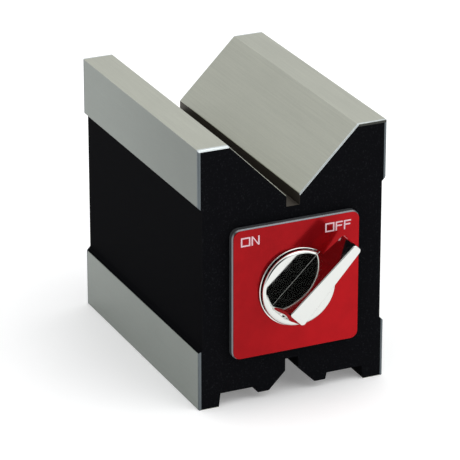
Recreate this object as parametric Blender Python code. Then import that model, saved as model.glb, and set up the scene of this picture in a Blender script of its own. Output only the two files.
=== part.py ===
# Switchable magnetic V-block: two soft-iron pole halves around a magnet that a lever knob turns.
# Metres. +Z is up and -Y is the front, with the dial. The origin is on the standing surface, under the
# middle of the whole object. Pieces that touch on the real block stand GAP apart here.

import math

import bmesh
import bpy
from mathutils import Matrix

GAP = 0.0003

# Block
BLOCK_WIDTH = 0.070
BLOCK_DEPTH = 0.100
BLOCK_HEIGHT = 0.095
VEE_HALF_OPENING = 0.024
SPACER_WIDTH = 0.005
UPPER_RELIEF_FLOOR = 0.0696
LOWER_RELIEF_TOP = 0.0133
PAD_RISE = 0.0015
UPPER_PAD_BOTTOM = 0.0744
LOWER_PAD_TOP = 0.0209
FOOT_INSIDE = 0.0275
GROOVE_OUTSIDE = 0.0269
GROOVE_INSIDE = 0.0134
GROOVE_DEPTH = 0.0050
LAND_OUTSIDE = 0.0129
LAND_INSIDE = 0.0087
LAND_HEIGHT = 0.0026
PAD_CHAMFER = 0.0008
VEE_CHAMFER = 0.00035

# Bore, rotor and the pieces on its axis. Distances along the axis count outwards from a block end face.
AXIS_HEIGHT = 0.0414
BORE_RADIUS = 0.021
SPIGOT_RADIUS = 0.0206
SPIGOT_DEPTH = 0.005
SHAFT_RADIUS = 0.004
BUSH_RADIUS = 0.0061
BUSH_FLANGE_RADIUS = 0.0085
FLANGE_THICKNESS = 0.001
WASHER_THICKNESS = 0.0005
ROTOR_RADIUS = 0.0206
END_CAP_RADIUS = 0.0202
END_CAP_THICKNESS = 0.005
MAGNET_WIDTH = 0.035
MAGNET_THICKNESS = 0.0154
CAP_SCREW_OFFSET = 0.014
CAP_FACE = -(SPIGOT_DEPTH + FLANGE_THICKNESS + WASHER_THICKNESS + 3 * GAP)
CAP_BACK = CAP_FACE - END_CAP_THICKNESS
ROTOR_FACE = CAP_BACK - GAP

# Cover plates and dial label
COVER_SIDE = 0.0475
COVER_THICKNESS = 0.0022
COVER_CORNER = 0.003
COVER_FACE = GAP + COVER_THICKNESS
COVER_CHAMFER = 0.0004
COVER_SCREW_OFFSET = 0.0187
LABEL_SIDE = 0.0469
LABEL_THICKNESS = 0.0003
LABEL_FACE = COVER_FACE + GAP + LABEL_THICKNESS
LABEL_HOLE_RADIUS = 0.007

# Screws
SCREW_RADIUS = 0.002
SCREW_HEAD_RADIUS = 0.0036
SCREW_HEAD_SINK = 0.0002
COVER_SCREW_LENGTH = 0.0098
CAP_SCREW_LENGTH = 0.0125
SOCKET_RADIUS = 0.0014
SOCKET_DEPTH = 0.0012
SOCKET_TWIST = math.radians(7)
GRUB_RADIUS = 0.0015
GRUB_SOCKET_RADIUS = 0.0008

# Stop and click
TURN = math.radians(90)
STOP_PIN_RADIUS = 0.0015
STOP_PIN_ORBIT = 0.0176
STOP_PIN_ANGLE = math.radians(225)
STOP_PIN_REACH = 0.0021
BALL_RADIUS = 0.002
BALL_ORBIT = 0.011
BALL_ANGLE = math.radians(45)
BALL_OFF_CAP = 0.00005
DIMPLE_DEPTH = 0.00035
SPRING_RADIUS = 0.00145
SPRING_WIRE = 0.00025
SPRING_TURNS = 5

# Knob. Heights count outwards from the dial label.
KNOB_FLANGE_RADIUS = 0.0142
KNOB_RADIUS = 0.0137
KNOB_FACE_RADIUS = 0.0127
KNOB_FLANGE = 0.0010
KNOB_FACE = 0.0028
KNOB_GROOVE = 0.0005
LEVER_ANGLE = math.radians(45)
LEVER_FACE = 0.0138
LEVER_ROOT = 0.0015
LEVER_UNDERSIDE = 0.0048
LEVER_CORNER = 0.0012
LEVER_EDGE = 0.0003
SHAFT_END_RADIUS = 0.00225
SHAFT_SHOULDER = 0.0020
SHAFT_END = 0.0085
GRUB_HEIGHT = 0.0058

# Plan of the lever: distance from the axis towards its tip, and its half width there
LEVER_ROOT_PLAN = ((-0.0094, 0.0044), (0.0127, 0.0039), (0.0236, 0.0020))
LEVER_FACE_PLAN = ((-0.0087, 0.0033), (0.0127, 0.0023), (0.0232, 0.0017))

# The whole object is centred on Y between the lever's face and the rear cover
FRONT_REACH = LABEL_FACE + LEVER_FACE
BLOCK_FRONT = FRONT_REACH - (FRONT_REACH + BLOCK_DEPTH + COVER_FACE) / 2
BLOCK_BACK = BLOCK_FRONT + BLOCK_DEPTH

FINE = 48
MEDIUM = 32
SMALL = 16

# Finishes: colour, roughness, metallic
BLACK_PAINT = ((0.008, 0.009, 0.011), 0.62, 0.0)
BRASS = ((0.48, 0.36, 0.16), 0.40, 1.0)
BRONZE = ((0.42, 0.24, 0.11), 0.42, 1.0)
DIE_CAST = ((0.18, 0.19, 0.20), 0.45, 1.0)
RED_LABEL = ((0.48, 0.012, 0.018), 0.35, 0.0)
BLACK_STEEL = ((0.03, 0.03, 0.033), 0.38, 1.0)
BRIGHT_STEEL = ((0.56, 0.57, 0.57), 0.28, 1.0)
CHROME = ((0.80, 0.81, 0.80), 0.06, 1.0)
FERRITE = ((0.045, 0.043, 0.042), 0.70, 0.0)
SOFT_IRON = ((0.32, 0.32, 0.32), 0.45, 1.0)
RUBBER = ((0.012, 0.012, 0.012), 0.80, 0.0)


def clear_scene():
    for item in list(bpy.data.objects):
        bpy.data.objects.remove(item, do_unlink=True)


def frame(name, location, turn=0.0, parent=None):
    empty = bpy.data.objects.new(name, None)
    bpy.context.scene.collection.objects.link(empty)
    empty.location = location
    empty.rotation_euler = (0, 0, turn)
    empty.parent = parent
    return empty


def place(name, data, finish=None, parent=None, location=(0, 0, 0)):
    piece = bpy.data.objects.new(name, data)
    bpy.context.scene.collection.objects.link(piece)
    piece.parent = parent
    piece.location = location
    if finish:
        colour, roughness, metallic = finish
        material = bpy.data.materials.new(name)
        material.use_nodes = True
        shader = material.node_tree.nodes["Principled BSDF"]
        shader.inputs["Base Color"].default_value = (*colour, 1.0)
        shader.inputs["Roughness"].default_value = roughness
        shader.inputs["Metallic"].default_value = metallic
        piece.data.materials.clear()
        piece.data.materials.append(material)
    return piece


def closed_mesh(name, form):
    """Close a bmesh into mesh data, with its faces pointing out."""
    bmesh.ops.remove_doubles(form, verts=form.verts, dist=1e-6)
    bmesh.ops.recalc_face_normals(form, faces=form.faces)
    mesh = bpy.data.meshes.new(name)
    form.to_mesh(mesh)
    form.free()
    mesh.shade_smooth()
    mesh.set_sharp_from_angle(angle=math.radians(35))
    return mesh


def solid(name, form, finish=None, parent=None):
    return place(name, closed_mesh(name, form), finish, parent)


def combine(piece, tool, operation):
    """Cut a tool from a piece, or add it. The tool stays out of the finished object."""
    tool.hide_render = True
    tool.display_type = "WIRE"
    step = piece.modifiers.new(tool.name, "BOOLEAN")
    step.operation = operation
    step.solver = "EXACT"
    step.object = tool


def arc(radius, start, end, steps, centre=(0.0, 0.0)):
    points = []
    for step in range(steps + 1):
        angle = start + (end - start) * step / steps
        points.append((centre[0] + radius * math.cos(angle), centre[1] + radius * math.sin(angle)))
    return points


def rounded_outline(corners, radius, steps):
    """Round each corner of a convex outline that runs anticlockwise."""
    points = []
    for index, corner in enumerate(corners):
        before = corners[index - 1]
        after = corners[(index + 1) % len(corners)]
        start = math.atan2(corner[1] - before[1], corner[0] - before[0]) - math.pi / 2
        end = math.atan2(after[1] - corner[1], after[0] - corner[0]) - math.pi / 2
        turn = (end - start) % (2 * math.pi)
        middle = start + turn / 2
        reach = radius / math.cos(turn / 2)
        centre = (corner[0] - reach * math.cos(middle), corner[1] - reach * math.sin(middle))
        points += arc(radius, start, start + turn, steps, centre)
    return points


def square(side):
    half = side / 2
    return [(-half, -half), (half, -half), (half, half), (-half, half)]


def add_prism(form, outline, out, back):
    """Sweep an x-z outline along the axis, from one distance outwards to another."""
    face = form.faces.new([form.verts.new((x, -out, z)) for x, z in outline])
    swept = bmesh.ops.extrude_face_region(form, geom=[face])["geom"]
    moved = [part for part in swept if isinstance(part, bmesh.types.BMVert)]
    bmesh.ops.translate(form, verts=moved, vec=(0, out - back, 0))


def add_turned(form, profile, x=0.0, z=0.0, steps=MEDIUM, ring=False):
    """Turn a (radius, out) profile about the axis through x, z. A ring's profile closes on itself."""
    points = [form.verts.new((x + radius, -out, z)) for radius, out in profile]
    pairs = list(zip(points, points[1:]))
    if ring:
        pairs.append((points[-1], points[0]))
    edges = [form.edges.new(pair) for pair in pairs]
    bmesh.ops.spin(form, geom=points + edges, cent=(x, 0, z), axis=(0, 1, 0), angle=2 * math.pi,
                   steps=steps, use_merge=True)
    bmesh.ops.remove_doubles(form, verts=form.verts, dist=1e-6)


def add_rod(form, radius, out, back, x=0.0, z=0.0, steps=SMALL):
    add_turned(form, [(0, out), (radius, out), (radius, back), (0, back)], x, z, steps)


def turned(name, profile, finish, parent, steps=MEDIUM, ring=False):
    form = bmesh.new()
    add_turned(form, profile, steps=steps, ring=ring)
    return solid(name, form, finish, parent)


def corner_places(offset):
    return [(x, z) for z in (offset, -offset) for x in (-offset, offset)]


def orbit(radius, angle):
    return radius * math.cos(angle), radius * math.sin(angle)


# Block ---------------------------------------------------------------------------------------------

def pole_outline():
    """Right half of the block's end face, anticlockwise from the foot of the V flank."""
    half = BLOCK_WIDTH / 2
    slot = SPACER_WIDTH / 2
    side = half - PAD_RISE
    bore_turn = math.acos(slot / BORE_RADIUS)
    foot = [(slot, BLOCK_HEIGHT - VEE_HALF_OPENING + slot)]
    bore = arc(BORE_RADIUS, bore_turn, -bore_turn, FINE // 2, (0.0, AXIS_HEIGHT))
    underside = [
        (slot, LAND_HEIGHT + LAND_INSIDE - slot),
        (LAND_INSIDE, LAND_HEIGHT),
        (LAND_OUTSIDE, LAND_HEIGHT),
        (GROOVE_INSIDE, GROOVE_DEPTH),
        (GROOVE_OUTSIDE, GROOVE_DEPTH),
        (FOOT_INSIDE, 0.0),
        (half, 0.0),
    ]
    flank = [
        (half, LOWER_PAD_TOP),
        (side, LOWER_PAD_TOP + PAD_RISE),
        (side, UPPER_PAD_BOTTOM - PAD_RISE),
        (half, UPPER_PAD_BOTTOM),
        (half, BLOCK_HEIGHT),
        (VEE_HALF_OPENING, BLOCK_HEIGHT),
    ]
    return foot + bore + underside + flank


def chamfer_ground_edges(form, width, chosen):
    """Break the end-face edges of the ground faces that a test on an edge's middle picks out."""
    edges = []
    for edge in form.edges:
        first, second = (vert.co for vert in edge.verts)
        at_end = abs(first.y - second.y) < 1e-7
        if at_end and chosen((first + second) / 2):
            edges.append(edge)
    bmesh.ops.bevel(form, geom=edges, offset=width, offset_type="OFFSET", affect="EDGES",
                    segments=1, profile=0.5, material=-1, clamp_overlap=True)


def on_pad(middle):
    on_top = abs(middle.z - BLOCK_HEIGHT) < 1e-6
    on_side = abs(abs(middle.x) - BLOCK_WIDTH / 2) < 1e-6
    return on_top or on_side


def on_vee(middle):
    rise = BLOCK_HEIGHT - VEE_HALF_OPENING
    on_flank = abs(middle.z - abs(middle.x) - rise) < VEE_CHAMFER / 2
    return on_flank and middle.z > rise


def build_pole(name, side, tapped_holes):
    form = bmesh.new()
    add_prism(form, [(side * x, z) for x, z in pole_outline()], -BLOCK_FRONT, -BLOCK_BACK)
    chamfer_ground_edges(form, VEE_CHAMFER, on_vee)
    chamfer_ground_edges(form, PAD_CHAMFER, on_pad)
    pole = solid(name, form, BLACK_PAINT)
    for holes in tapped_holes:
        combine(pole, holes, "DIFFERENCE")


def build_spacer(name, end, direction):
    """A strip between the poles, from the bore's wall to a relief slot above or below it."""
    half = SPACER_WIDTH / 2 - GAP
    spread = math.asin(half / BORE_RADIUS)
    middle = direction * math.pi / 2
    hollow = arc(BORE_RADIUS, middle + spread, middle - spread, 4, (0.0, AXIS_HEIGHT))
    side = half * direction
    form = bmesh.new()
    add_prism(form, hollow + [(side, end), (-side, end)], -BLOCK_FRONT, -BLOCK_BACK)
    solid(name, form, BRASS)


def build_block(front, back):
    form = bmesh.new()
    for x, z in corner_places(COVER_SCREW_OFFSET):
        add_rod(form, SCREW_RADIUS + GAP, COVER_THICKNESS, -COVER_SCREW_LENGTH, x, z)
    front_holes = solid("front_tapped_holes", form, parent=front)
    back_holes = place("rear_tapped_holes", front_holes.data, parent=back)
    build_pole("left_pole", -1, (front_holes, back_holes))
    build_pole("right_pole", 1, (front_holes, back_holes))
    build_spacer("upper_spacer", UPPER_RELIEF_FLOOR, 1)
    build_spacer("lower_spacer", LOWER_RELIEF_TOP, -1)


# Screws --------------------------------------------------------------------------------------------

def screw_meshes(name, profile, socket_radius):
    """A turned screw whose top lies at out = 0, and the prism that cuts its hexagon socket."""
    form = bmesh.new()
    add_turned(form, profile, steps=24)
    screw = closed_mesh(name, form)
    form = bmesh.new()
    hexagon = arc(socket_radius, SOCKET_TWIST, SOCKET_TWIST + 2 * math.pi, 6)[:6]
    add_prism(form, hexagon, GAP, -SOCKET_DEPTH)
    return screw, closed_mesh(name + "_socket", form)


def countersunk_meshes(name, length):
    cone = SCREW_HEAD_RADIUS - SCREW_RADIUS
    profile = [(0, 0), (SCREW_HEAD_RADIUS, 0), (SCREW_RADIUS, -cone), (SCREW_RADIUS, GAP - length),
               (SCREW_RADIUS - GAP, -length), (0, -length)]
    return screw_meshes(name, profile, SOCKET_RADIUS)


def place_screw(name, meshes, parent, place_at):
    screw = place(name, meshes[0].copy(), BLACK_STEEL, parent)
    socket = place(name + "_socket", meshes[1], parent=parent)
    for piece in (screw, socket):
        piece.matrix_local = place_at
    combine(screw, socket, "DIFFERENCE")


def add_countersink(form, face, depth, x, z):
    """Clearance for a countersunk screw whose head lies just under a face."""
    mouth = SCREW_HEAD_RADIUS + 2 * GAP
    hole = SCREW_RADIUS + GAP
    cone_end = face - (mouth - hole)
    profile = [(0, face + GAP), (mouth + GAP, face + GAP), (hole, cone_end), (hole, face - depth),
               (0, face - depth)]
    add_turned(form, profile, x, z, steps=24)


# Covers --------------------------------------------------------------------------------------------

def build_cover(name, parent):
    """A square plate with a round spigot in the bore and a blind pocket for the bush."""
    form = bmesh.new()
    add_prism(form, rounded_outline(square(COVER_SIDE), COVER_CORNER, 6), COVER_FACE, GAP)
    rim = [edge for edge in form.edges if all(abs(vert.co.y + COVER_FACE) < 1e-7 for vert in edge.verts)]
    bmesh.ops.bevel(form, geom=rim, offset=COVER_CHAMFER, offset_type="OFFSET", affect="EDGES",
                    segments=1, profile=0.5, material=-1)
    cover = solid(name, form, DIE_CAST, parent)
    spigot = bmesh.new()
    add_turned(spigot, [(0, COVER_FACE / 2), (SPIGOT_RADIUS, COVER_FACE / 2),
                        (SPIGOT_RADIUS, GAP - SPIGOT_DEPTH), (SPIGOT_RADIUS - GAP, -SPIGOT_DEPTH),
                        (0, -SPIGOT_DEPTH)], steps=FINE)
    combine(cover, solid(name + "_spigot", spigot, parent=parent), "UNION")
    return cover


def add_cover_holes(form, pocket_end):
    for x, z in corner_places(COVER_SCREW_OFFSET):
        add_countersink(form, COVER_FACE, 2 * COVER_THICKNESS, x, z)
    add_rod(form, BUSH_RADIUS + GAP, pocket_end, -SPIGOT_DEPTH - GAP, steps=24)


def build_cover_screws(prefix, meshes, parent):
    out = COVER_FACE - SCREW_HEAD_SINK
    for number, (x, z) in enumerate(corner_places(COVER_SCREW_OFFSET), 1):
        place_screw(f"{prefix}_{number}", meshes, parent, Matrix.Translation((x, -out, z)))


def build_bearing(prefix, bush_end, parent):
    """A flanged bush in the cover's pocket and a thrust washer between it and the rotor."""
    bore = SHAFT_RADIUS + GAP
    flange = -SPIGOT_DEPTH - GAP
    washer = flange - FLANGE_THICKNESS - GAP
    turned(f"{prefix}_bush", [(bore, bush_end), (BUSH_RADIUS, bush_end), (BUSH_RADIUS, flange),
                              (BUSH_FLANGE_RADIUS, flange), (BUSH_FLANGE_RADIUS, washer + GAP),
                              (bore, washer + GAP)], BRONZE, parent, steps=24, ring=True)
    turned(f"{prefix}_thrust_washer", [(bore, washer), (BUSH_FLANGE_RADIUS, washer),
                                       (BUSH_FLANGE_RADIUS, washer - WASHER_THICKNESS),
                                       (bore, washer - WASHER_THICKNESS)], BRASS, parent, steps=24, ring=True)


def build_front(parent, screws):
    pocket_end = COVER_FACE - 2 * GAP
    spring_seat = COVER_FACE - 0.0015
    ball_x, ball_z = orbit(BALL_ORBIT, BALL_ANGLE)
    pin_x, pin_z = orbit(STOP_PIN_ORBIT, STOP_PIN_ANGLE)
    pin_seat = -0.0010
    form = bmesh.new()
    add_cover_holes(form, pocket_end)
    add_rod(form, BALL_RADIUS + GAP, spring_seat + GAP, -SPIGOT_DEPTH - GAP, ball_x, ball_z)
    add_rod(form, STOP_PIN_RADIUS + GAP, pin_seat + GAP, -SPIGOT_DEPTH - GAP, pin_x, pin_z)
    holes = solid("front_cover_holes", form, parent=parent)
    form = bmesh.new()
    add_rod(form, SHAFT_RADIUS + 2 * GAP, LABEL_FACE + GAP, 0, steps=24)
    shaft_hole = solid("front_cover_shaft_hole", form, parent=parent)
    cover = build_cover("front_cover", parent)
    combine(cover, holes, "DIFFERENCE")
    combine(cover, shaft_hole, "DIFFERENCE")
    build_cover_screws("front_cover_screw", screws, parent)

    form = bmesh.new()
    corner = COVER_CORNER - (COVER_SIDE - LABEL_SIDE) / 2
    add_prism(form, rounded_outline(square(LABEL_SIDE), corner, 6), LABEL_FACE, LABEL_FACE - LABEL_THICKNESS)
    label = solid("dial_label", form, RED_LABEL, parent)
    form = bmesh.new()
    add_rod(form, LABEL_HOLE_RADIUS, LABEL_FACE + GAP, LABEL_FACE - LABEL_THICKNESS - GAP, steps=24)
    combine(label, solid("dial_label_hole", form, parent=parent), "DIFFERENCE")

    cord_radius = 0.0009
    seal_middle = pocket_end - GAP - cord_radius
    seal_centre = SHAFT_RADIUS + GAP + cord_radius
    turned("shaft_seal_ring", arc(cord_radius, 0, 2 * math.pi, 10, (seal_centre, seal_middle))[:10],
           RUBBER, parent, steps=24, ring=True)
    build_bearing("front", seal_middle - cord_radius - GAP, parent)

    form = bmesh.new()
    add_rod(form, STOP_PIN_RADIUS, pin_seat, CAP_FACE - STOP_PIN_REACH, pin_x, pin_z)
    solid("stop_pin", form, BRIGHT_STEEL, parent)

    ball_out = CAP_FACE + BALL_OFF_CAP + BALL_RADIUS
    form = bmesh.new()
    bmesh.ops.create_uvsphere(form, u_segments=20, v_segments=10, radius=BALL_RADIUS)
    place("detent_ball", closed_mesh("detent_ball", form), BRIGHT_STEEL, parent, (ball_x, -ball_out, ball_z))
    build_spring("detent_spring", spring_seat - SPRING_WIRE, ball_out + BALL_RADIUS + GAP + SPRING_WIRE,
                 (ball_x, 0, ball_z), parent)


def build_spring(name, seat, end, location, parent):
    """A wire helix between two distances along the axis."""
    steps = SPRING_TURNS * 12
    curve = bpy.data.curves.new(name, "CURVE")
    curve.dimensions = "3D"
    curve.bevel_depth = SPRING_WIRE
    curve.bevel_resolution = 1
    curve.use_fill_caps = True
    wire = curve.splines.new("POLY")
    wire.points.add(steps)
    for step, point in enumerate(wire.points):
        angle = 2 * math.pi * SPRING_TURNS * step / steps
        out = seat + (end - seat) * step / steps
        point.co = (SPRING_RADIUS * math.cos(angle), -out, SPRING_RADIUS * math.sin(angle), 1.0)
    return place(name, curve, BRIGHT_STEEL, parent, location)


def build_back(parent, screws):
    pocket_end = 0.0
    form = bmesh.new()
    add_cover_holes(form, pocket_end)
    holes = solid("rear_cover_holes", form, parent=parent)
    cover = build_cover("rear_cover", parent)
    combine(cover, holes, "DIFFERENCE")
    build_cover_screws("rear_cover_screw", screws, parent)
    build_bearing("rear", pocket_end - GAP, parent)


# Rotor ---------------------------------------------------------------------------------------------

def end_cap_outline(relieved):
    """A disc, or for the front cap a disc with its rim cut back along the stop pin's path."""
    if not relieved:
        return arc(END_CAP_RADIUS, 0, 2 * math.pi, FINE)[:FINE]
    pin_half = math.asin((STOP_PIN_RADIUS + GAP) / STOP_PIN_ORBIT)
    end = STOP_PIN_ANGLE + pin_half
    start = STOP_PIN_ANGLE - pin_half - TURN
    floor = STOP_PIN_ORBIT - STOP_PIN_RADIUS - 2 * GAP
    rim = arc(END_CAP_RADIUS, end, start + 2 * math.pi, FINE * 2 // 3)
    relief = arc(floor, start, end, FINE // 3)
    return rim + relief


def build_end_cap(name, parent, relieved):
    form = bmesh.new()
    add_prism(form, end_cap_outline(relieved), CAP_FACE, CAP_BACK)
    cap = solid(name, form, BRASS, parent)
    form = bmesh.new()
    add_rod(form, SHAFT_RADIUS + GAP, CAP_FACE + GAP, CAP_BACK - GAP, steps=24)
    for z in (CAP_SCREW_OFFSET, -CAP_SCREW_OFFSET):
        add_countersink(form, CAP_FACE, 2 * END_CAP_THICKNESS, 0, z)
    if relieved:
        for angle in (BALL_ANGLE, BALL_ANGLE - TURN):
            x, z = orbit(BALL_ORBIT, angle)
            radius = BALL_RADIUS + BALL_OFF_CAP + DIMPLE_DEPTH
            out = CAP_FACE + radius - DIMPLE_DEPTH
            bmesh.ops.create_uvsphere(form, u_segments=20, v_segments=10, radius=radius,
                                      matrix=Matrix.Translation((x, -out, z)))
    combine(cap, solid(name + "_holes", form, parent=parent), "DIFFERENCE")


def build_cap_screws(prefix, meshes, parent):
    out = CAP_FACE - SCREW_HEAD_SINK
    for number, z in enumerate((CAP_SCREW_OFFSET, -CAP_SCREW_OFFSET), 1):
        place_screw(f"{prefix}_{number}", meshes, parent, Matrix.Translation((0, -out, z)))


def build_pole_shoe(name, direction, front, back):
    """A soft-iron segment between the magnet's flat face and the bore."""
    chord = MAGNET_THICKNESS / 2 + GAP
    spread = math.acos(chord / ROTOR_RADIUS)
    middle = direction * math.pi / 2
    form = bmesh.new()
    add_prism(form, arc(ROTOR_RADIUS, middle - spread, middle + spread, 20), ROTOR_FACE, -BLOCK_DEPTH - ROTOR_FACE)
    shoe = solid(name, form, SOFT_IRON, front)
    z = direction * CAP_SCREW_OFFSET
    for parent, end in ((front, "front"), (back, "rear")):
        form = bmesh.new()
        add_rod(form, SCREW_RADIUS + GAP, ROTOR_FACE + GAP, CAP_FACE - CAP_SCREW_LENGTH - 2 * GAP, 0, z)
        combine(shoe, solid(f"{name}_{end}_hole", form, parent=parent), "DIFFERENCE")


def build_rotor(front, back, screws):
    form = bmesh.new()
    half = MAGNET_WIDTH / 2
    thick = MAGNET_THICKNESS / 2
    section = rounded_outline([(-half, -thick), (half, -thick), (half, thick), (-half, thick)], 0.0008, 3)
    add_prism(form, section, ROTOR_FACE, -BLOCK_DEPTH - ROTOR_FACE)
    solid("rotor_magnet", form, FERRITE, front)
    build_pole_shoe("upper_pole_shoe", 1, front, back)
    build_pole_shoe("lower_pole_shoe", -1, front, back)
    build_end_cap("front_end_cap", front, relieved=True)
    build_end_cap("rear_end_cap", back, relieved=False)
    build_cap_screws("front_cap_screw", screws, front)
    build_cap_screws("rear_cap_screw", screws, back)
    shoulder = LABEL_FACE + SHAFT_SHOULDER
    end = LABEL_FACE + SHAFT_END
    turned("knob_shaft", [(0, end), (SHAFT_END_RADIUS - GAP, end), (SHAFT_END_RADIUS, end - GAP),
                          (SHAFT_END_RADIUS, shoulder), (SHAFT_RADIUS - GAP, shoulder),
                          (SHAFT_RADIUS, shoulder - GAP), (SHAFT_RADIUS, CAP_BACK), (0, CAP_BACK)],
           BRIGHT_STEEL, front, steps=24)
    turned("rear_journal", [(0, -2 * GAP), (SHAFT_RADIUS - GAP, -2 * GAP), (SHAFT_RADIUS, -3 * GAP),
                            (SHAFT_RADIUS, CAP_BACK), (0, CAP_BACK)], BRIGHT_STEEL, back, steps=24)


# Knob ----------------------------------------------------------------------------------------------

def lever_outline(plan):
    """Both sides of a lever plan, pointing along +X, with rounded corners."""
    near_side = [(along, -half) for along, half in plan]
    far_side = [(along, half) for along, half in reversed(plan)]
    return rounded_outline(near_side + far_side, LEVER_CORNER, 5)


def build_lever_form(parent):
    """Loft the lever from its wide root to its narrow face, then break the face's edge."""
    form = bmesh.new()
    loops = []
    for height, plan in ((LEVER_ROOT, LEVER_ROOT_PLAN), (LEVER_FACE, LEVER_FACE_PLAN)):
        out = LABEL_FACE + height
        corners = [form.verts.new((x, -out, z)) for x, z in lever_outline(plan)]
        loops.append([form.edges.new((corners[side - 1], corners[side])) for side in range(len(corners))])
    bmesh.ops.bridge_loops(form, edges=loops[0] + loops[1])
    for loop in loops:
        bmesh.ops.contextual_create(form, geom=loop)
    bmesh.ops.bevel(form, geom=loops[1], offset=LEVER_EDGE, offset_type="OFFSET", affect="EDGES",
                    segments=2, profile=0.5, material=-1)
    lever = solid("knob_lever_form", form, parent=parent)
    lever.rotation_euler = (0, -LEVER_ANGLE, 0)
    return lever


def build_knob(parent):
    """One casting: a flanged and grooved disc, and a lever that overhangs the dial."""
    face = LABEL_FACE + KNOB_FACE
    base = LABEL_FACE + GAP
    flange = LABEL_FACE + KNOB_FLANGE
    groove = KNOB_RADIUS - KNOB_GROOVE
    edge = KNOB_RADIUS - KNOB_FACE_RADIUS
    rounding = arc(edge, 0, math.pi / 2, 5, (KNOB_FACE_RADIUS, face - edge))
    profile = [(0, base), (KNOB_FLANGE_RADIUS, base), (KNOB_FLANGE_RADIUS, flange - GAP),
               (KNOB_FLANGE_RADIUS - GAP, flange), (groove, flange), (groove, flange + GAP),
               (KNOB_RADIUS, flange + GAP)]
    knob = turned("knob", profile + rounding + [(0, face)], CHROME, parent, steps=FINE)
    combine(knob, build_lever_form(parent), "UNION")

    form = bmesh.new()
    underside = LABEL_FACE + LEVER_UNDERSIDE
    clear = KNOB_FLANGE_RADIUS + GAP / 2
    far = 2 * KNOB_FLANGE_RADIUS
    add_turned(form, [(clear, 0), (far, 0), (far, underside), (clear, underside)], steps=FINE, ring=True)
    combine(knob, solid("knob_underside", form, parent=parent), "DIFFERENCE")

    form = bmesh.new()
    bore = SHAFT_END_RADIUS + GAP
    counterbore = SHAFT_RADIUS + GAP
    shoulder = LABEL_FACE + SHAFT_SHOULDER + GAP
    end = LABEL_FACE + SHAFT_END + GAP
    add_turned(form, [(0, end), (bore, end), (bore, shoulder), (counterbore, shoulder),
                      (counterbore, LABEL_FACE), (0, LABEL_FACE)], steps=24)
    combine(knob, solid("knob_bore", form, parent=parent), "DIFFERENCE")

    along_lever = Matrix.Rotation(-LEVER_ANGLE, 4, "Y") @ Matrix.Rotation(math.radians(90), 4, "Z")
    lift = Matrix.Translation((0, -(LABEL_FACE + GRUB_HEIGHT), 0))
    form = bmesh.new()
    add_rod(form, GRUB_RADIUS + GAP, KNOB_RADIUS, 0)
    hole = solid("knob_grub_hole", form, parent=parent)
    hole.matrix_local = lift @ along_lever
    combine(knob, hole, "DIFFERENCE")

    grub_out = GAP - LEVER_FACE_PLAN[0][0]
    length = grub_out - SHAFT_END_RADIUS - GAP
    grub = screw_meshes("grub", [(0, 0), (GRUB_RADIUS, 0), (GRUB_RADIUS, GAP - length),
                                 (GRUB_RADIUS - GAP, -length), (0, -length)], GRUB_SOCKET_RADIUS)
    grub_place = lift @ along_lever @ Matrix.Translation((0, -grub_out, 0))
    place_screw("knob_grub_screw", grub, parent, grub_place)


def build():
    clear_scene()
    front = frame("front_face", (0, BLOCK_FRONT, AXIS_HEIGHT))
    back = frame("back_face", (0, BLOCK_BACK, AXIS_HEIGHT), math.pi)
    rotor_front = frame("rotor_front", (0, BLOCK_FRONT, AXIS_HEIGHT))
    rotor_back = frame("rotor_back", (0, BLOCK_DEPTH, 0), math.pi, rotor_front)
    cover_screw = countersunk_meshes("cover_screw", COVER_SCREW_LENGTH)
    cap_screw = countersunk_meshes("cap_screw", CAP_SCREW_LENGTH)
    build_block(front, back)
    build_front(front, cover_screw)
    build_back(back, cover_screw)
    build_rotor(rotor_front, rotor_back, cap_screw)
    build_knob(rotor_front)


build()
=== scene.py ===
import math

import bmesh
import bpy
from mathutils import Matrix, Vector


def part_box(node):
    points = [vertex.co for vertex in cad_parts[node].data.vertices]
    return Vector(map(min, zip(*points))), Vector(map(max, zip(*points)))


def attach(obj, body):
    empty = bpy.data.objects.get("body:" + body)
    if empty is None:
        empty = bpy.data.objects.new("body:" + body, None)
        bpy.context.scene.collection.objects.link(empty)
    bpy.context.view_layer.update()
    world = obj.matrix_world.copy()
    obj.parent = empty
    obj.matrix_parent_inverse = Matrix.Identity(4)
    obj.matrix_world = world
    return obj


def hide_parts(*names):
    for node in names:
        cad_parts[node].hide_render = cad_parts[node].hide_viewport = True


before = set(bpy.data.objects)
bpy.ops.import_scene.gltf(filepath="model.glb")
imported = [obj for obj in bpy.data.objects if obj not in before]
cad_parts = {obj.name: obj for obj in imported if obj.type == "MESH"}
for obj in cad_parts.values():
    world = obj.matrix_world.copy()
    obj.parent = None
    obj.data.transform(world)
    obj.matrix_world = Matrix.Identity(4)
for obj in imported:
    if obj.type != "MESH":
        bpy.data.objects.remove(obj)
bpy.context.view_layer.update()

mm = 0.001

# Where things are, read from the CAD pieces
blockLow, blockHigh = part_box("right_pole")                # x runs from the slot's wall to the outer side
slotWall = blockLow.x
halfWidth = blockHigh.x
blockTop = blockHigh.z
blockMiddle = (blockLow.y + blockHigh.y) / 2
halfDepth = (blockHigh.y - blockLow.y) / 2
axisHeight = sum(corner.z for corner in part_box("knob_shaft")) / 2
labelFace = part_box("dial_label")[0].y


# Shapes

def arc(radius, start, end, steps, centre=(0, 0)):
    angles = [math.radians(start + (end - start) * step / steps) for step in range(steps + 1)]
    x, y = centre
    return [(x + radius * math.cos(angle), y + radius * math.sin(angle)) for angle in angles]


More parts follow.
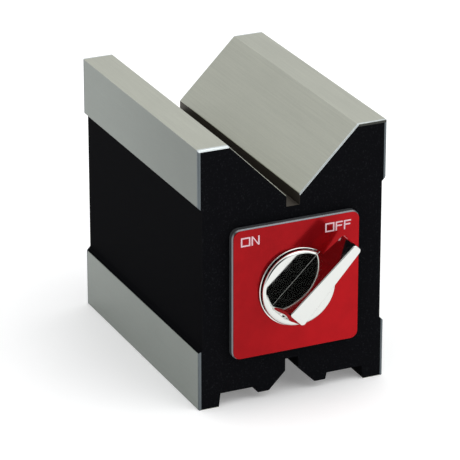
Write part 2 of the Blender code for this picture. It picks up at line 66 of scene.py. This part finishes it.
def roundedOutline(corners, radius, steps):               # convex, anticlockwise
    points = []
    for index, corner in enumerate(corners):
        before = corners[index - 1]
        after = corners[(index + 1) % len(corners)]
        start = math.degrees(math.atan2(corner[1] - before[1], corner[0] - before[0])) - 90
        end = math.degrees(math.atan2(after[1] - corner[1], after[0] - corner[0])) - 90
        turn = (end - start) % 360
        middle = math.radians(start + turn / 2)
        reach = radius / math.cos(math.radians(turn / 2))
        centre = (corner[0] - reach * math.cos(middle), corner[1] - reach * math.sin(middle))
        points += arc(radius, start, start + turn, steps, centre)
    return points


def loop(form, outline, height):                          # one closed ring of edges
    points = [form.verts.new((x, y, height)) for x, y in outline]
    return [form.edges.new((points[index - 1], points[index])) for index in range(len(points))]


def loft(form, sections):                                 # (outline, height) pairs, closed at both ends
    rings = [loop(form, outline, height) for outline, height in sections]
    for lower, upper in zip(rings, rings[1:]):
        bmesh.ops.bridge_loops(form, edges=lower + upper)
    for end in (rings[0], rings[-1]):
        bmesh.ops.contextual_create(form, geom=end)


def turn(form, profile, steps, ring=False):               # (radius, height) points spun about Z
    points = [form.verts.new((radius, 0, height)) for radius, height in profile]
    pairs = list(zip(points, points[1:]))
    if ring:
        pairs.append((points[-1], points[0]))
    edges = [form.edges.new(pair) for pair in pairs]
    bmesh.ops.spin(form, geom=points + edges, cent=(0, 0, 0), axis=(0, 0, 1), angle=2 * math.pi,
                   steps=steps, use_merge=True)


def finished(name, form, sharpAngle=35):                  # merged, facing out, smooth up to an angle
    bmesh.ops.remove_doubles(form, verts=form.verts, dist=1e-6)
    bmesh.ops.recalc_face_normals(form, faces=form.faces)
    mesh = bpy.data.meshes.new(name)
    form.to_mesh(mesh)
    form.free()
    mesh.shade_smooth()
    mesh.set_sharp_from_angle(angle=math.radians(sharpAngle))
    piece = bpy.data.objects.new(name, mesh)
    bpy.context.scene.collection.objects.link(piece)
    return piece


def flatShaded(piece):                                    # big faces keep their own normals and look flat
    even = piece.modifiers.new("even", "WEIGHTED_NORMAL")
    even.keep_sharp = True
    bpy.context.view_layer.update()
    piece.data = bpy.data.meshes.new_from_object(piece.evaluated_get(bpy.context.evaluated_depsgraph_get()))
    piece.modifiers.clear()


def combine(piece, tool, operation, sharpAngle=35):       # joins or cuts with a tool, which is used up
    step = piece.modifiers.new("combine", "BOOLEAN")
    step.operation = operation
    step.solver = "EXACT"
    step.object = tool
    bpy.context.view_layer.update()
    shaped = piece.evaluated_get(bpy.context.evaluated_depsgraph_get())
    mesh = bpy.data.meshes.new_from_object(shaped)
    piece.modifiers.clear()
    piece.data = mesh
    bpy.data.objects.remove(tool)
    mesh.set_sharp_from_angle(angle=math.radians(sharpAngle))


def outward(angle=0.0):                                   # local Z out of the dial, X along the lever
    facing = Matrix(((1, 0, 0), (0, 0, -1), (0, 1, 0))).to_4x4()
    swing = Matrix.Rotation(math.radians(angle), 4, "Z")
    return Matrix.Translation((0, labelFace, axisHeight)) @ facing @ swing


def refined(node, name, width=0, chosen=None):            # a merged copy of a CAD piece, chosen edges eased
    form = bmesh.new()
    form.from_mesh(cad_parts[node].data)
    bmesh.ops.remove_doubles(form, verts=form.verts, dist=2e-6)
    bmesh.ops.dissolve_limit(form, angle_limit=math.radians(0.5), verts=form.verts, edges=form.edges)
    if chosen:
        edges = [edge for edge in form.edges if len(edge.link_faces) == 2 and chosen(edge)]
        bmesh.ops.bevel(form, geom=edges, offset=width, offset_type="OFFSET", affect="EDGES", segments=2,
                        profile=0.5, material=-1, clamp_overlap=True)
    piece = finished(name, form)
    flatShaded(piece)
    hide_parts(node)
    return piece


# Materials

def toned(colour, factor):
    return [tone * factor for tone in colour]


class Value:                                              # a socket that takes part in plain arithmetic
    def __init__(self, graph, socket):
        self.graph = graph
        self.socket = socket

    def maths(self, operation, *others):
        return self.graph.node("ShaderNodeMath", {"operation": operation}, dict(enumerate((self, *others))))

    def __add__(self, other):
        return self.maths("ADD", other)

    def __sub__(self, other):
        return self.maths("SUBTRACT", other)

    def __rsub__(self, other):
        return self.graph.node("ShaderNodeMath", {"operation": "SUBTRACT"}, {0: other, 1: self})

    def __mul__(self, other):
        return self.maths("MULTIPLY", other)

    def __lt__(self, other):
        return self.maths("LESS_THAN", other)

    def __gt__(self, other):
        return self.maths("GREATER_THAN", other)

    def __abs__(self):
        return self.maths("ABSOLUTE")

    __radd__ = __add__
    __rmul__ = __mul__

    def least(self, other):
        return self.maths("MINIMUM", other)

    def most(self, other):
        return self.maths("MAXIMUM", other)

    def within(self, low, high):                          # 0 below low, 1 above high, smooth between
        return self.graph.node("ShaderNodeMapRange", {"interpolation_type": "SMOOTHSTEP"},
                               {"Value": self, "From Min": low, "From Max": high})


class Graph:                                              # the nodes of a material or of the world
    def __init__(self, tree):
        self.tree = tree

    def node(self, kind, settings, inputs, output=None):
        node = self.tree.nodes.new(kind)
        for setting, value in settings.items():
            setattr(node, setting, value)
        for key, value in inputs.items():
            socket = node.inputs[key] if isinstance(key, int) else self.named(node.inputs, key)
            if isinstance(value, Value):
                self.tree.links.new(value.socket, socket)
            else:
                socket.default_value = value
        sockets = [socket for socket in node.outputs if socket.enabled]
        return Value(self, self.named(node.outputs, output) if output else sockets[0])

    def named(self, sockets, name):
        return next(socket for socket in sockets if socket.enabled and socket.name == name)

    def mix(self, amount, first, second):
        colours = [value if isinstance(value, Value) else (*value, 1.0) for value in (first, second)]
        return self.node("ShaderNodeMix", {"data_type": "RGBA"},
                         {"Factor": amount, "A": colours[0], "B": colours[1]}, "Result")


class Finish(Graph):                                      # one material, built on the principled shader
    def __init__(self, name, metallic=0.0, roughness=0.5, **constants):
        self.material = bpy.data.materials.new(name)
        self.material.use_nodes = True
        super().__init__(self.material.node_tree)
        self.shader = self.tree.nodes["Principled BSDF"]
        self.shader.inputs["Metallic"].default_value = metallic
        self.shader.inputs["Roughness"].default_value = roughness
        for socket, value in constants.items():
            self.shader.inputs[socket.replace("_", " ")].default_value = value

    def place(self):
        return self.node("ShaderNodeTexCoord", {}, {}, "Object")

    def axes(self):
        spread = self.node("ShaderNodeSeparateXYZ", {}, {"Vector": self.place()}, "X")
        sockets = spread.socket.node.outputs
        return [Value(self, sockets[axis]) for axis in "XYZ"]

    def stretched(self, scale):                           # Object coordinates, scaled along each axis
        return self.node("ShaderNodeVectorMath", {"operation": "MULTIPLY"}, {0: self.place(), 1: scale})

    def noise(self, scale, detail=3.0, roughness=0.5, stretch=(1, 1, 1)):
        return self.node("ShaderNodeTexNoise", {}, {"Vector": self.stretched(stretch), "Scale": scale,
                                                    "Detail": detail, "Roughness": roughness}, "Fac")

    def grain(self, scale, stretch=(1, 1, 1), detail=4.0, low=0.3, high=0.7):
        return self.noise(scale, detail, 0.6, stretch).within(low, high)

    def set(self, **sources):
        for socket, value in sources.items():
            self.tree.links.new(value.socket, self.shader.inputs[socket.replace("_", " ")])

    def bump(self, height, distance, strength=1.0):
        inputs = {"Strength": strength, "Distance": distance, "Height": height}
        self.set(Normal=self.node("ShaderNodeBump", {}, inputs))


block = {
    "chamfer": 0.8 * mm,                                  # bare edge strip at the pads' ends
    "veeChamfer": 0.35 * mm,
    "veeFoot": 71 * mm,                                   # height where the V's flanks would meet
    "skin": 0.12 * mm,                                    # how far a ground face reaches round its edge
    "paintWander": 0.10 * mm,                             # a masked paint line is never quite straight
    "longEdge": 0.18 * mm,
    "slotEdge": 0.1 * mm,
    "longEnough": 50 * mm,                                # an edge this long runs the length of the block
    "steelLight": (0.52, 0.53, 0.46),
    "steelDark": (0.445, 0.455, 0.395),
    "topLitFactor": 1.02,                                     # painted light: the horns' tops are coloured a little lighter than the V
    # painted shade: the ground side pads are coloured darker than the tops and the V
    "shadedSideLight": (0.262, 0.284, 0.262),
    "shadedSideDark": (0.218, 0.237, 0.219),
    "sideFrontShade": 0.78,                                     # painted shade: the upper pads get darker towards the front
    # painted highlight: the bare front edge strips are coloured lighter than the ground faces
    "breakHighlight": (0.72, 0.78, 0.80),
    "breakDark": (0.13, 0.15, 0.16),
    "paint": (0.0026, 0.0027, 0.0034),
    # painted light: the end faces' paint is lighter than the sides'
    "litEndPaint": (0.0046, 0.0048, 0.0058),
    # lighter specks of the paint's texture, which also stand in for its sheen as painted highlight
    "paintSpeckAndSheen": (0.020, 0.021, 0.024),
    # bare metal in the slot, darkened by painted shade in the recess
    "slotShadedMetal": (0.075, 0.066, 0.055),
    "lineScale": 2600,                                    # grinding lines, drawn out along the block
    "lineDraw": 0.012,
    "cloudScale": 70,
    "mottleScale": 1500,
    "pebbleScale": 1700,                                  # the texture of the paint
    "relief": 0.05 * mm,
}


def blockFinish():
    finish = Finish("groundAndPainted", IOR=1.03)
    x, y, z = finish.axes()
    across = abs(x)
    endDepth = halfDepth - abs(y - blockMiddle)
    sideDepth = halfWidth - across
    topDepth = blockTop - z
    veeDepth = (across + block["veeFoot"] - z) * math.sqrt(0.5)
    pads = sideDepth.least(topDepth)
    skin = finish.noise(900, 2) * block["paintWander"] + block["skin"]
    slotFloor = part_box("upper_spacer")[1].z
    touching = 0.02 * mm
    inSlot = (across < slotWall + touching) * (slotFloor - z < touching)
    faces = (pads.least(veeDepth).least(z) < skin)
    topBreak = (topDepth + endDepth < block["chamfer"] + block["skin"])
    sideBreak = (sideDepth + endDepth < block["chamfer"] + block["skin"]) * (1 - topBreak)
    onRight = (0 - x < 0)
    veeBreak = (veeDepth + endDepth < block["veeChamfer"] + block["skin"]) * onRight
    topBreak = topBreak * (1 - onRight * (topDepth > block["skin"]) * 0.9)      # painted on the right horn
    ground = faces.most(topBreak).most(sideBreak).most(veeBreak)
    onSide = (sideDepth < block["skin"] * 2) * (1 - (topDepth < block["skin"] * 2))
    onEnd = (endDepth < block["skin"])

    lines = finish.grain(block["lineScale"], (1, block["lineDraw"], 1), 5, 0.34, 0.66)
    cloud = finish.grain(block["cloudScale"], (1, 0.3, 1), 2)
    mottle = finish.grain(block["mottleScale"], (1, 0.6, 1), 3)
    steelTone = lines * 0.6 + cloud * 0.25 + mottle * 0.15
    onTop = (topDepth < block["skin"])
    veeSteel = finish.mix(steelTone, block["steelDark"], block["steelLight"])
    # painted light: the horns' tops are lighter than the V's flanks
    hornSteel = finish.mix(steelTone, toned(block["steelDark"], block["topLitFactor"]),
                           toned(block["steelLight"], block["topLitFactor"]))
    topSteel = finish.mix(onTop, veeSteel, hornSteel)
    # painted shade: the side pads are darker than the tops
    sideSteel = finish.mix(steelTone, block["shadedSideDark"], block["shadedSideLight"])
    frontShadedSide = finish.mix(steelTone, toned(block["shadedSideDark"], block["sideFrontShade"]),
                          toned(block["shadedSideLight"], block["sideFrontShade"]))
    # painted shade: the upper side pads darken towards the front
    frontward = 1 - (y - blockMiddle).within(-halfDepth, halfDepth * 0.8)
    upper = (axisHeight - z < 0)
    sideSteel = finish.mix(frontward * upper, sideSteel, frontShadedSide)
    steel = finish.mix(onSide, topSteel, sideSteel)
    steel = finish.mix(sideBreak, steel, block["breakDark"])
    # painted highlight along the bare front edges
    steel = finish.mix(topBreak.most(veeBreak) * 0.8, steel, block["breakHighlight"])

    pebble = finish.noise(block["pebbleScale"], 4, 0.55)
    specks = pebble.within(0.54, 0.74)
    # painted light: the end faces are lighter than the sides and carry more specks as painted sheen
    paint = finish.mix(onEnd, block["paint"], block["litEndPaint"])
    paint = finish.mix(specks * (0.15 + onEnd * 0.45), paint, block["paintSpeckAndSheen"])
    # painted shade: the slot's bare metal is kept dark
    dull = finish.mix(inSlot, paint, block["slotShadedMetal"])
    finish.set(Base_Color=finish.mix(ground, dull, steel))
    finish.set(Metallic=ground.most(inSlot * 0.7))
    finish.set(Roughness=ground * (0.40 + lines * 0.06) + (1 - ground) * (0.50 + specks * 0.15))
    height = ground * (lines * 0.12) + (1 - ground) * pebble
    finish.bump(height, block["relief"], 0.55)
    return finish.material


def runsAlongBlock(edge):
    reach = edge.verts[0].co - edge.verts[1].co
    return abs(reach.x) < 1e-5 and abs(reach.z) < 1e-5 and abs(reach.y) > block["longEnough"]


def isLongOuterEdge(edge):
    return runsAlongBlock(edge) and edge.is_convex and edge.calc_face_angle(0) > math.radians(30)


def isSlotEdge(edge):
    return runsAlongBlock(edge) and all(abs(vert.co.x) > slotWall - 1e-6 for vert in edge.verts)


def makeBlock():
    paint = blockFinish()
    for node in ("left_pole", "right_pole"):
        pole = refined(node, node + "_body", block["longEdge"], isLongOuterEdge)
        pole.data.materials.append(paint)
        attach(pole, "block")
    for node in ("upper_spacer", "lower_spacer"):          # the strip fills its slot from wall to wall
        low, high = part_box(node)
        form = bmesh.new()
        bmesh.ops.create_cube(form, size=1)
        bmesh.ops.scale(form, verts=form.verts, vec=(2 * slotWall, high.y - low.y, high.z - low.z))
        bmesh.ops.translate(form, verts=form.verts, vec=(low + high) / 2)
        edges = [edge for edge in form.edges if isSlotEdge(edge)]
        bmesh.ops.bevel(form, geom=edges, offset=block["slotEdge"], offset_type="OFFSET", affect="EDGES",
                        segments=1, profile=0.5, material=-1)
        strip = finished(node + "_strip", form)
        strip.data.materials.append(paint)
        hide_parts(node)
        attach(strip, "block")
    print("block made")


cover = {
    "edge": (0.080, 0.085, 0.090),
    "rimHighlight": (0.27, 0.29, 0.31),                         # painted highlight: a lighter band round the plate's outer edge
    "rimDepth": (0.25 * mm, 0.6 * mm),
    "rimInset": (0.4 * mm, 0.9 * mm),
}


def coverFinish():
    finish = Finish("coverPlate", metallic=0.4)
    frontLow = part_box("front_cover")[0].y
    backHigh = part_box("rear_cover")[1].y
    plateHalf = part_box("rear_cover")[1].x
    x, y, z = finish.axes()
    outer = (y - frontLow).least(backHigh - y)
    inset = (plateHalf - abs(x)).least(plateHalf - abs(z - axisHeight))
    # painted highlight along the plate's outer edge
    rim = (1 - outer.within(*cover["rimDepth"])) * (1 - inset.within(*cover["rimInset"]))
    brushed = finish.grain(1400, (1, 6, 1), 4)
    cast = finish.mix(brushed, toned(cover["edge"], 0.7), cover["edge"])
    finish.set(Base_Color=finish.mix(rim * 0.8, cast, cover["rimHighlight"]))
    finish.set(Roughness=0.50 + brushed * 0.14 - rim * 0.15)
    finish.bump(brushed, 0.02 * mm, 0.4)
    return finish.material


def makeCovers():
    metal = coverFinish()
    for node in ("front_cover", "rear_cover"):
        plate = refined(node, node + "_plate")
        plate.data.materials.append(metal)
        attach(plate, "block")
    print("covers made")


label = {
    "red": (0.285, 0.0058, 0.0085),
    "redLight": (0.45, 0.0080, 0.0120),
    "print": (0.76, 0.55, 0.60),
    "shadeRamp": (-45 * mm, 0),                                # painted shade: the red is darker up to the left
    "corner": 2.7 * mm,
    "easedEdge": 0.06 * mm,
    "hole": 7 * mm,
    "capHeight": 3.3 * mm,
    "stroke": 0.52 * mm,
    "printLift": 0.02 * mm,
    "printSunk": 0.005 * mm,
    "topMargin": 2.5 * mm,
    "leftMargin": 2.7 * mm,
    "rightMargin": 3.1 * mm,
    "letterGap": 0.45 * mm,
}

# The width of each letter, in cap heights
letterWidths = {
    "O": 1.05,
    "N": 0.90,
    "F": 0.81,
}


def squareRing(form, width, height, stroke):
    outer = loop(form, [(0, 0), (width, 0), (width, height), (0, height)], 0)
    inner = loop(form, [(stroke, stroke), (width - stroke, stroke), (width - stroke, height - stroke),
                        (stroke, height - stroke)], 0)
    bmesh.ops.bridge_loops(form, edges=outer + inner)


def diagonalLetter(form, width, height, stroke):
    slant = stroke * 1.25
    bmesh.ops.contextual_create(form, geom=loop(form, [
        (0, 0), (stroke, 0), (stroke, height - slant), (width - stroke, 0), (width, 0), (width, height),
        (width - stroke, height), (width - stroke, slant), (stroke, height), (0, height)], 0))


def barLetter(form, width, height, stroke):
    middle = height * 0.46
    bmesh.ops.contextual_create(form, geom=loop(form, [
        (0, 0), (stroke, 0), (stroke, middle), (width * 0.9, middle), (width * 0.9, middle + stroke),
        (stroke, middle + stroke), (stroke, height - stroke), (width, height - stroke), (width, height),
        (0, height)], 0))


letterMakers = {"O": squareRing, "N": diagonalLetter, "F": barLetter}


def wordWidth(word):
    widths = [letterWidths[letter] * label["capHeight"] for letter in word]
    return sum(widths) + label["letterGap"] * (len(word) - 1)


def makeWord(word, left, base, printed):
    form = bmesh.new()
    start = 0.0
    for letter in word:
        before = set(form.verts)
        width = letterWidths[letter] * label["capHeight"]
        letterMakers[letter](form, width, label["capHeight"], label["stroke"])
        added = [vert for vert in form.verts if vert not in before]
        bmesh.ops.translate(form, verts=added, vec=(start, 0, 0))
        start += width + label["letterGap"]
    raised = bmesh.ops.extrude_face_region(form, geom=form.faces[:])["geom"]
    bmesh.ops.translate(form, verts=[part for part in raised if isinstance(part, bmesh.types.BMVert)],
                        vec=(0, 0, label["printLift"]))
    place = outward() @ Matrix.Translation((left, base, -label["printSunk"]))
    bmesh.ops.transform(form, matrix=place, verts=form.verts)
    piece = finished("legend_" + word.lower(), form)
    piece.data.materials.append(printed)
    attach(piece, "block")


def labelFinish():
    finish = Finish("redDial", metallic=0.5, roughness=0.13, Specular_IOR_Level=0.08)
    haze = finish.grain(140, (1, 1, 1), 3)
    flow = finish.noise(45, 2)
    x, _, z = finish.axes()
    # painted shade: the red darkens up to the left, mixed with random tone
    shadeRamp = (x - z * 0.6).within(*label["shadeRamp"])
    toneAndShade = haze * 0.25 + flow * 0.2 + shadeRamp * 0.5
    finish.set(Base_Color=finish.mix(toneAndShade, label["red"], label["redLight"]))
    finish.bump(flow, 0.03 * mm, 0.25)
    return finish.material


def makeLabel():
    low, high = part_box("dial_label")
    side = (high.x - low.x) / 2
    thickness = high.y - low.y
    form = bmesh.new()
    corners = [(-side, -side), (side, -side), (side, side), (-side, side)]
    edge = label["easedEdge"]
    loft(form, [(roundedOutline(corners, label["corner"], 12), -thickness),
                (roundedOutline(corners, label["corner"], 12), -edge),
                (roundedOutline([(x * (1 - edge / side), z * (1 - edge / side)) for x, z in corners],
                                label["corner"] - edge, 12), 0)])
    bmesh.ops.transform(form, matrix=outward(), verts=form.verts)
    plate = finished("dial_face", form)
    hole = bmesh.new()
    turn(hole, [(0, -2 * thickness), (label["hole"], -2 * thickness), (label["hole"], thickness),
                (0, thickness)], 64)
    bmesh.ops.transform(hole, matrix=outward(), verts=hole.verts)
    combine(plate, finished("dial_hole", hole), "DIFFERENCE")
    plate.data.materials.clear()
    plate.data.materials.append(labelFinish())
    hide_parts("dial_label")
    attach(plate, "block")

    printed = Finish("printedLegend", roughness=0.35, Specular_IOR_Level=0.3)
    printed.set(Base_Color=printed.mix(printed.grain(3000), label["print"], toned(label["print"], 0.93)))
    base = side - label["topMargin"] - label["capHeight"]
    makeWord("ON", label["leftMargin"] - side, base, printed.material)
    makeWord("OFF", side - label["rightMargin"] - wordWidth("OFF"), base, printed.material)
    print("dial made")


knob = {
    "angle": 45,                                          # the lever points at OFF
    "flangeRadius": 14.2 * mm,
    "discRadius": 13.7 * mm,
    "faceRadius": 12.7 * mm,
    "flange": 0.9 * mm,
    "face": 2.8 * mm,
    "groove": 1.5 * mm,
    "grooveTop": 1.7 * mm,
    "gap": 0.3 * mm,
    "leverTop": 13.8 * mm,
    "leverRoot": 1.5 * mm,
    "underside": 4.8 * mm,
    "corner": 1.2 * mm,
    "edge": 0.3 * mm,
    "fillet": 0.12 * mm,
    "rootPlan": ((-11.6 * mm, 4.4 * mm), (12.7 * mm, 3.9 * mm), (23.6 * mm, 2.0 * mm)),
    "facePlan": ((-9.1 * mm, 3.5 * mm), (12.7 * mm, 2.3 * mm), (23.2 * mm, 1.7 * mm)),
    "shaftRadius": 2.25 * mm,
    "shoulderRadius": 4.0 * mm,
    "shoulder": 2.0 * mm,
    "shaftEnd": 8.5 * mm,
    "grubRadius": 1.5 * mm,
    "grubHeight": 5.8 * mm,
    "chromeDark": (0.67, 0.685, 0.66),
    "chromeLight": (0.71, 0.72, 0.695),
}


def leverSection(height, grow):                           # the lever's outline at a height, widened by grow
    up = (height - knob["leverRoot"]) / (knob["leverTop"] - knob["leverRoot"])
    plan = []
    for root, face in zip(knob["rootPlan"], knob["facePlan"]):
        plan.append([low + (high - low) * up for low, high in zip(root, face)])
    plan[0][0] -= grow
    plan[-1][0] += grow
    near = [(along, -half - grow) for along, half in plan]
    far = [(along, half + grow) for along, half in reversed(plan)]
    return roundedOutline(near + far, knob["corner"] + grow, 8), height


def makeLever():
    sections = [leverSection(knob["leverRoot"], knob["fillet"]),
                leverSection(knob["face"] - 0.1 * mm, knob["fillet"])]
    for angle in (72, 54, 36, 18, 0):                     # fillet where the lever meets the disc
        grow = knob["fillet"] * (1 - math.cos(math.radians(angle)))
        rise = knob["fillet"] * (1 - math.sin(math.radians(angle)))
        sections.append(leverSection(knob["face"] + rise, grow))
    for angle in (0, 22.5, 45, 67.5, 90):                 # eased edge round the lever's face
        shrink = knob["edge"] * (math.cos(math.radians(angle)) - 1)
        rise = knob["edge"] * (math.sin(math.radians(angle)) - 1)
        sections.append(leverSection(knob["leverTop"] + rise, shrink))
    form = bmesh.new()
    loft(form, sections)
    lever = finished("lever", form)
    clear = bmesh.new()
    inner = knob["flangeRadius"] + knob["gap"] / 2
    turn(clear, [(inner, -knob["gap"]), (2 * inner, -knob["gap"]), (2 * inner, knob["underside"]),
                 (inner, knob["underside"])], 128, ring=True)
    combine(lever, finished("leverClearance", clear), "DIFFERENCE")
    return lever


def chromeFinish():
    finish = Finish("polishedChrome", metallic=1.0, roughness=0.05)
    wave = finish.noise(160, 0)
    haze = finish.noise(420, 1).within(0.35, 0.75)
    finish.set(Base_Color=finish.mix(wave * 0.5, knob["chromeDark"], knob["chromeLight"]))
    finish.set(Roughness=0.06 + haze * 0.035)
    finish.bump(wave, 0.05 * mm, 0.2)
    return finish.material


def makeKnob():
    radius = knob["discRadius"]
    rounding = radius - knob["faceRadius"]
    grooveRadius = radius - knob["groove"]
    flange = knob["flange"]
    lip = knob["gap"]
    profile = [(0, knob["gap"]), (knob["flangeRadius"] - 0.1 * mm, knob["gap"]),
               (knob["flangeRadius"], knob["gap"] + 0.1 * mm)]
    profile += arc(lip, 0, 90, 4, (knob["flangeRadius"] - lip, flange - lip))
    profile += [(grooveRadius, flange), (grooveRadius, knob["grooveTop"]), (radius, knob["grooveTop"])]
    profile += arc(rounding, 0, 90, 12, (knob["faceRadius"], knob["face"] - rounding))
    profile += [(0, knob["face"])]
    form = bmesh.new()
    turn(form, profile, 160)
    piece = finished("turning_knob", form)
    combine(piece, makeLever(), "UNION")
    bore = bmesh.new()
    slack = knob["gap"]
    turn(bore, [(0, knob["shaftEnd"] + slack), (knob["shaftRadius"] + slack, knob["shaftEnd"] + slack),
                (knob["shaftRadius"] + slack, knob["shoulder"] + slack),
                (knob["shoulderRadius"] + slack, knob["shoulder"] + slack),
                (knob["shoulderRadius"] + slack, -slack), (0, -slack)], 64)
    combine(piece, finished("knobBore", bore), "DIFFERENCE")
    hole = bmesh.new()
    wide = knob["grubRadius"] + slack
    turn(hole, [(0, 0), (wide, 0), (wide, radius), (0, radius)], 48)
    sideways = Matrix.Translation((0, 0, knob["grubHeight"])) @ Matrix.Rotation(math.radians(-90), 4, "Y")
    bmesh.ops.transform(hole, matrix=sideways, verts=hole.verts)
    combine(piece, finished("grubHole", hole), "DIFFERENCE", 28)
    flatShaded(piece)
    piece.data.transform(outward(knob["angle"]))
    piece.data.materials.clear()
    piece.data.materials.append(chromeFinish())
    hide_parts("knob")
    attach(piece, "rotor")
    print("knob made")


screws = {
    "black": (0.018, 0.018, 0.020),
    "worn": (0.10, 0.10, 0.10),
}


def makeScrews():
    finish = Finish("blackenedScrew", metallic=0.8)
    wear = finish.grain(2200, (1, 1, 1), 3, 0.55, 0.75)
    finish.set(Base_Color=finish.mix(wear, screws["black"], screws["worn"]))
    finish.set(Roughness=0.36 + wear * 0.12)
    for node in sorted(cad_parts):
        if "screw" not in node:
            continue
        body = "rotor" if "cap" in node or "grub" in node else "block"
        screw = refined(node, node + "_finished")
        screw.data.materials.append(finish.material)
        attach(screw, body)
    print("screws made")


hiddenPieces = {
    "sinteredBronze": {
        "light": (0.42, 0.24, 0.11), "dark": (0.26, 0.14, 0.06), "roughness": 0.40,
        "grain": 3200, "metallic": 1.0, "nodes": ("front_bush", "rear_bush")},
    "turnedBrass": {
        "light": (0.52, 0.39, 0.17), "dark": (0.42, 0.30, 0.12), "roughness": 0.28,
        "grain": 1800, "metallic": 1.0,
        "nodes": ("front_thrust_washer", "rear_thrust_washer", "front_end_cap", "rear_end_cap")},
    "brightSteel": {
        "light": (0.58, 0.58, 0.57), "dark": (0.48, 0.48, 0.48), "roughness": 0.20,
        "grain": 2400, "metallic": 1.0,
        "nodes": ("stop_pin", "detent_ball", "detent_spring", "knob_shaft", "rear_journal")},
    "softIron": {
        "light": (0.30, 0.30, 0.30), "dark": (0.22, 0.22, 0.22), "roughness": 0.42,
        "grain": 1500, "metallic": 1.0, "nodes": ("upper_pole_shoe", "lower_pole_shoe")},
    "magnetCeramic": {
        "light": (0.05, 0.048, 0.046), "dark": (0.03, 0.029, 0.028), "roughness": 0.65,
        "grain": 2600, "metallic": 0.0, "nodes": ("rotor_magnet",)},
    "sealRubber": {
        "light": (0.014, 0.014, 0.014), "dark": (0.008, 0.008, 0.008), "roughness": 0.70,
        "grain": 3000, "metallic": 0.0, "nodes": ("shaft_seal_ring",)},
}


def hiddenFinish(name, look):
    finish = Finish(name, metallic=look["metallic"])
    grain = finish.grain(look["grain"])
    finish.set(Base_Color=finish.mix(grain, look["dark"], look["light"]))
    finish.set(Roughness=look["roughness"] + grain * 0.10)
    finish.bump(grain, 0.01 * mm, 0.4)
    return finish.material


def finishHiddenPieces():
    for name, look in hiddenPieces.items():
        material = hiddenFinish(name, look)
        for node in look["nodes"]:
            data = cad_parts[node].data
            data.materials.clear()
            data.materials.append(material)
    print("inner pieces finished")


studio = {
    "azimuth": -24.62,
    "elevation": 22.59,
    "distance": 1.1203,
    "target": (-5.02 * mm, 40 * mm, 46.41 * mm),          # x and z, and y behind the block's front face
    "lens": 251.2,
    "world": (0.74, 0.745, 0.75),
    "worldDark": (0.003, 0.003, 0.003),
    "darkAngles": (21, 28),                               # the studio's unlit end, degrees from its middle
    "floor": (0.92, 0.92, 0.92),
    "floorGlow": 0.22,                                    # a softly lit table, so the shadows stay pale
    "overheadSoftbox": {"azimuth": 155, "elevation": 80, "distance": 1.3, "size": 1.9, "power": 7.2},
    "frontSoftbox": {"azimuth": 40, "elevation": 48, "distance": 1.5, "size": 1.4, "power": 6.5},
}


def direction(azimuth, elevation):
    across, up = math.radians(azimuth), math.radians(elevation)
    return Vector((math.sin(across) * math.cos(up), -math.cos(across) * math.cos(up), math.sin(up)))


def softLight(name):
    chosen = studio[name]
    light = bpy.data.lights.new(name, "AREA")
    light.shape = "SQUARE"
    light.size = chosen["size"]
    light.energy = chosen["power"]
    lamp = bpy.data.objects.new(name, light)
    bpy.context.scene.collection.objects.link(lamp)
    toLight = direction(chosen["azimuth"], chosen["elevation"])
    lamp.location = toLight * chosen["distance"]
    lamp.rotation_euler = toLight.to_track_quat("Z", "Y").to_euler()


def makeWorld():
    world = bpy.data.worlds.new("studio")
    world.use_nodes = True
    bpy.context.scene.world = world
    graph = Graph(world.node_tree)
    facing = graph.node("ShaderNodeTexCoord", {}, {}, "Generated")
    darkEnd = direction(studio["azimuth"], studio["elevation"])
    towards = graph.node("ShaderNodeVectorMath", {"operation": "DOT_PRODUCT"}, {0: facing, 1: darkEnd},
                         "Value")
    full, none = (math.cos(math.radians(angle)) for angle in studio["darkAngles"])
    shade = graph.mix(towards.within(none, full), studio["world"], studio["worldDark"])
    graph.tree.links.new(shade.socket, graph.tree.nodes["Background"].inputs["Color"])


def makeStudio():
    makeWorld()
    form = bmesh.new()
    bmesh.ops.create_circle(form, cap_ends=True, radius=6, segments=96)
    floor = finished("floor", form)
    pale = Finish("paleFloor", roughness=0.8, Specular_IOR_Level=0.0, Emission_Color=(1, 1, 1, 1),
                  Emission_Strength=studio["floorGlow"])
    pale.set(Base_Color=pale.mix(pale.grain(40), studio["floor"], toned(studio["floor"], 0.99)))
    floor.data.materials.append(pale.material)
    softLight("overheadSoftbox")
    softLight("frontSoftbox")

    camera = bpy.data.cameras.new("camera")
    camera.lens = studio["lens"]
    camera.sensor_width = 36
    camera.clip_end = 50
    camera.dof.use_dof = False
    viewer = bpy.data.objects.new("camera", camera)
    bpy.context.scene.collection.objects.link(viewer)
    away = direction(studio["azimuth"], studio["elevation"])
    x, behind, z = studio["target"]
    viewer.location = Vector((x, blockLow.y + behind, z)) + away * studio["distance"]
    viewer.rotation_euler = away.to_track_quat("Z", "Y").to_euler()
    bpy.context.scene.camera = viewer
    bpy.context.scene.view_settings.view_transform = "Standard"
    print("studio made")


makeStudio()
makeBlock()
makeCovers()
makeLabel()
makeKnob()
makeScrews()
finishHiddenPieces()

bpy.context.view_layer.update()
